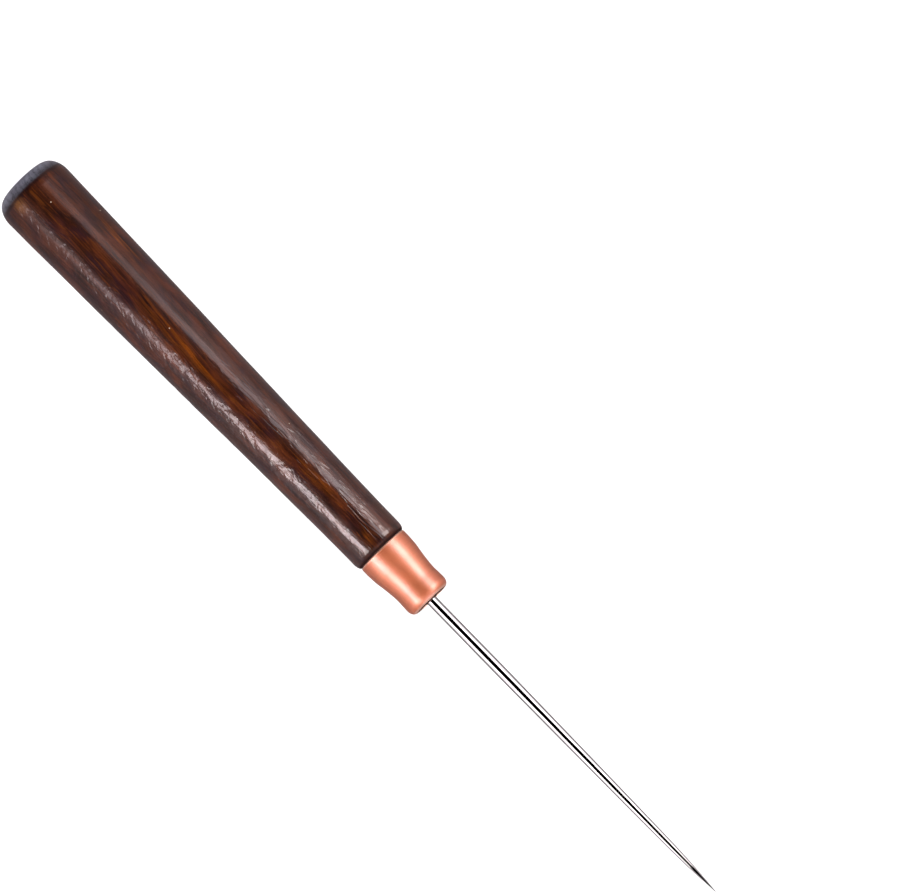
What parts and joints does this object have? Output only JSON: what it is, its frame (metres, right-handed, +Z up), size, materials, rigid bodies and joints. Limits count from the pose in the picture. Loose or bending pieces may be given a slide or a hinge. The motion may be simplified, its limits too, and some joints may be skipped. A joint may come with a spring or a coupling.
{
  "type": "bookbinding awl",
  "caption": "Straight bookbinding awl: tapered round hardwood handle, waisted copper ferrule and a slim tapered steel needle.",
  "frame": {"origin": "centre of the flat end face of the handle's butt", "axes": "+X along the tool's axis, from the butt to the needle's point; +Z up, with the tool lying on its side"},
  "size_m": [0.175, 0.0142, 0.0142],
  "materials": {
    "handle_wood": "dark rosewood under gloss varnish",
    "ferrule_copper": "satin copper",
    "needle_steel": "mirror polished",
    "dark_adhesive": "dark cured adhesive"
  },
  "bodies": {
    "root": {"handle": "handle_wood", "ferrule": "ferrule_copper", "needle": "needle_steel", "tang_adhesive": "dark_adhesive"}
  },
  "joints": []
}
